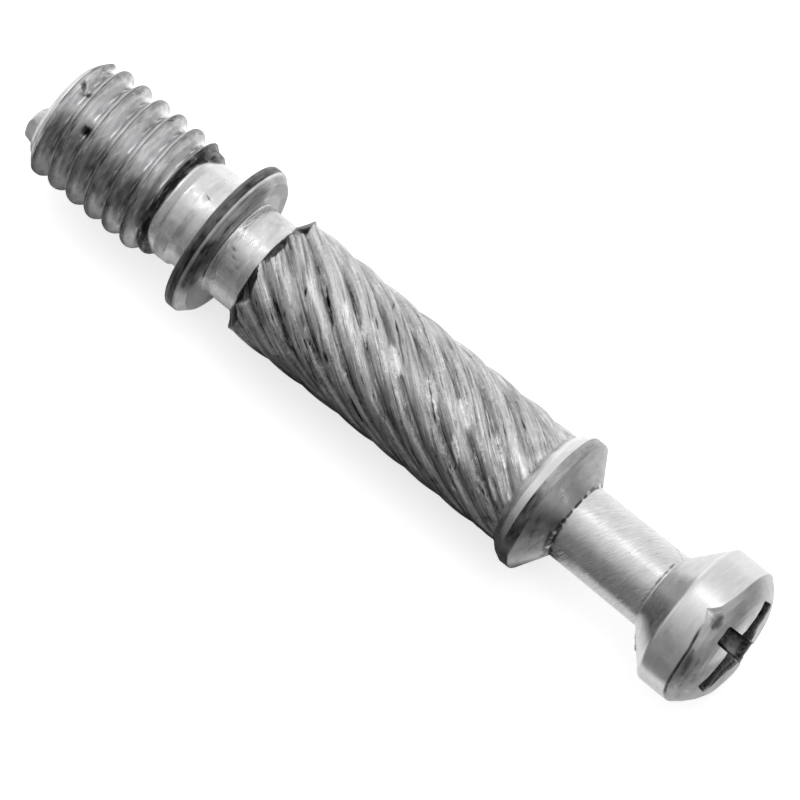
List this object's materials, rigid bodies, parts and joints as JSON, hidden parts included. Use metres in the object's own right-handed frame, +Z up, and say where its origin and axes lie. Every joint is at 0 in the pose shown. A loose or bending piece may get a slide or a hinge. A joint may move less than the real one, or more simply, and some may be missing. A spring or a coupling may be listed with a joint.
{
  "type": "cam dowel",
  "caption": "Metal cam dowel for furniture: threaded end, stop flange, twisted ribbed body, conical collar, slim neck and flared head with a cross recess.",
  "frame": {"origin": "on the dowel's axis, in the plane of the flange's face that seats against the panel", "axes": "the dowel lies as it rests on a table, +Z up; +X runs along it from the thread to the head, and its axis slopes down to the head by 0.59 degrees because the flange is wider than the head"},
  "size_m": [0.0376, 0.0074, 0.0074],
  "materials": {
    "dowel_metal": "satin"
  },
  "bodies": {
    "root": {"cam_dowel": "dowel_metal"}
  },
  "joints": []
}
